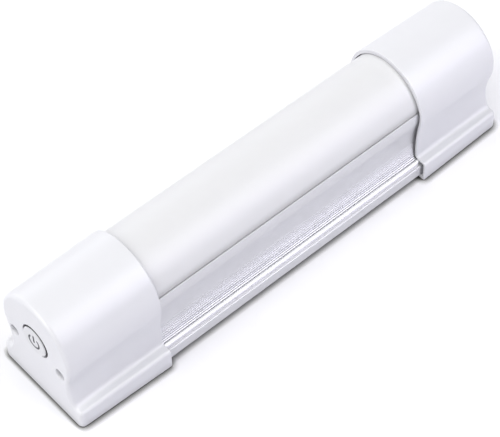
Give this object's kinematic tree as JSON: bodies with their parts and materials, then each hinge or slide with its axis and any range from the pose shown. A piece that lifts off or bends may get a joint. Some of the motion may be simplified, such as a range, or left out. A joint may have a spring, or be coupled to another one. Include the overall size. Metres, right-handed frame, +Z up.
{
  "type": "led light tube",
  "caption": "Small rechargeable light bar: a frosted cover on an extruded aluminium base, with a white cap and push button at its end.",
  "frame": {"origin": "middle of the bar's underside, on the surface that it stands on", "axes": "+X along the bar from the button end to the charging end, +Z up out of the frosted cover"},
  "size_m": [0.1904, 0.042, 0.046],
  "materials": {
    "white_abs": "satin moulded white",
    "white_button": "satin moulded white with a dark printed symbol",
    "frosted_cover": "milky translucent, satin",
    "anodised_aluminium": "satin anodised, finely ribbed",
    "plated_steel": "zinc plated",
    "green_board": "solder-masked glass-fibre board",
    "led_board_metal": "white solder mask on a metal core",
    "led_package": "white package with a yellow phosphor window",
    "cell_sleeve": "heat-shrink sleeve",
    "foam_pad": "adhesive foam",
    "black_plastic": "moulded black",
    "ferrite": "sintered ferrite",
    "ceramic": "glazed ceramic",
    "red_insulation": "flexible insulation",
    "black_insulation": "flexible insulation"
  },
  "bodies": {
    "root": {"base_profile": "anodised_aluminium", "diffuser": "frosted_cover", "switch_end_cap": "white_abs", "charge_end_cap": "white_abs", "tact_switch": "black_plastic", "switch_board": "green_board", "switch_board_screw_lower": "plated_steel", "switch_board_screw_upper": "plated_steel", "end_screw_switch_left": "plated_steel", "end_screw_switch_right": "plated_steel", "end_screw_charge_left": "plated_steel", "end_screw_charge_right": "plated_steel", "led_board": "led_board_metal", "battery_cell": "cell_sleeve", "cell_pad_switch_end": "foam_pad", "cell_pad_charge_end": "foam_pad", "charge_board": "green_board", "charge_board_screw_left": "plated_steel", "charge_board_screw_right": "plated_steel", "usb_inlet": "plated_steel", "usb_tongue": "black_plastic", "charger_chip": "black_plastic", "power_inductor": "ferrite", "filter_capacitor": "ceramic", "battery_lead_positive": "red_insulation", "led_lead_positive": "red_insulation", "switch_lead_live": "red_insulation", "battery_lead_negative": "black_insulation", "led_lead_negative": "black_insulation", "switch_lead_return": "black_insulation", "led_01": "led_package", "led_02": "led_package", "led_03": "led_package", "led_04": "led_package", "led_05": "led_package", "led_06": "led_package", "led_07": "led_package", "led_08": "led_package", "led_09": "led_package", "led_10": "led_package", "led_11": "led_package", "led_12": "led_package", "led_13": "led_package", "led_14": "led_package", "led_15": "led_package", "led_16": "led_package", "led_17": "led_package", "led_18": "led_package", "led_19": "led_package", "led_20": "led_package"},
    "power_button": {"power_button": "white_button", "switch_plunger": "black_plastic"}
  },
  "joints": [
    {"name": "power_button_press", "type": "slide", "parent": "root", "child": "power_button", "axis": [1, 0, 0], "range_m": [0, 0.0008], "stiffness_N_per_m": 400, "springref_m": -0.003}
  ]
}
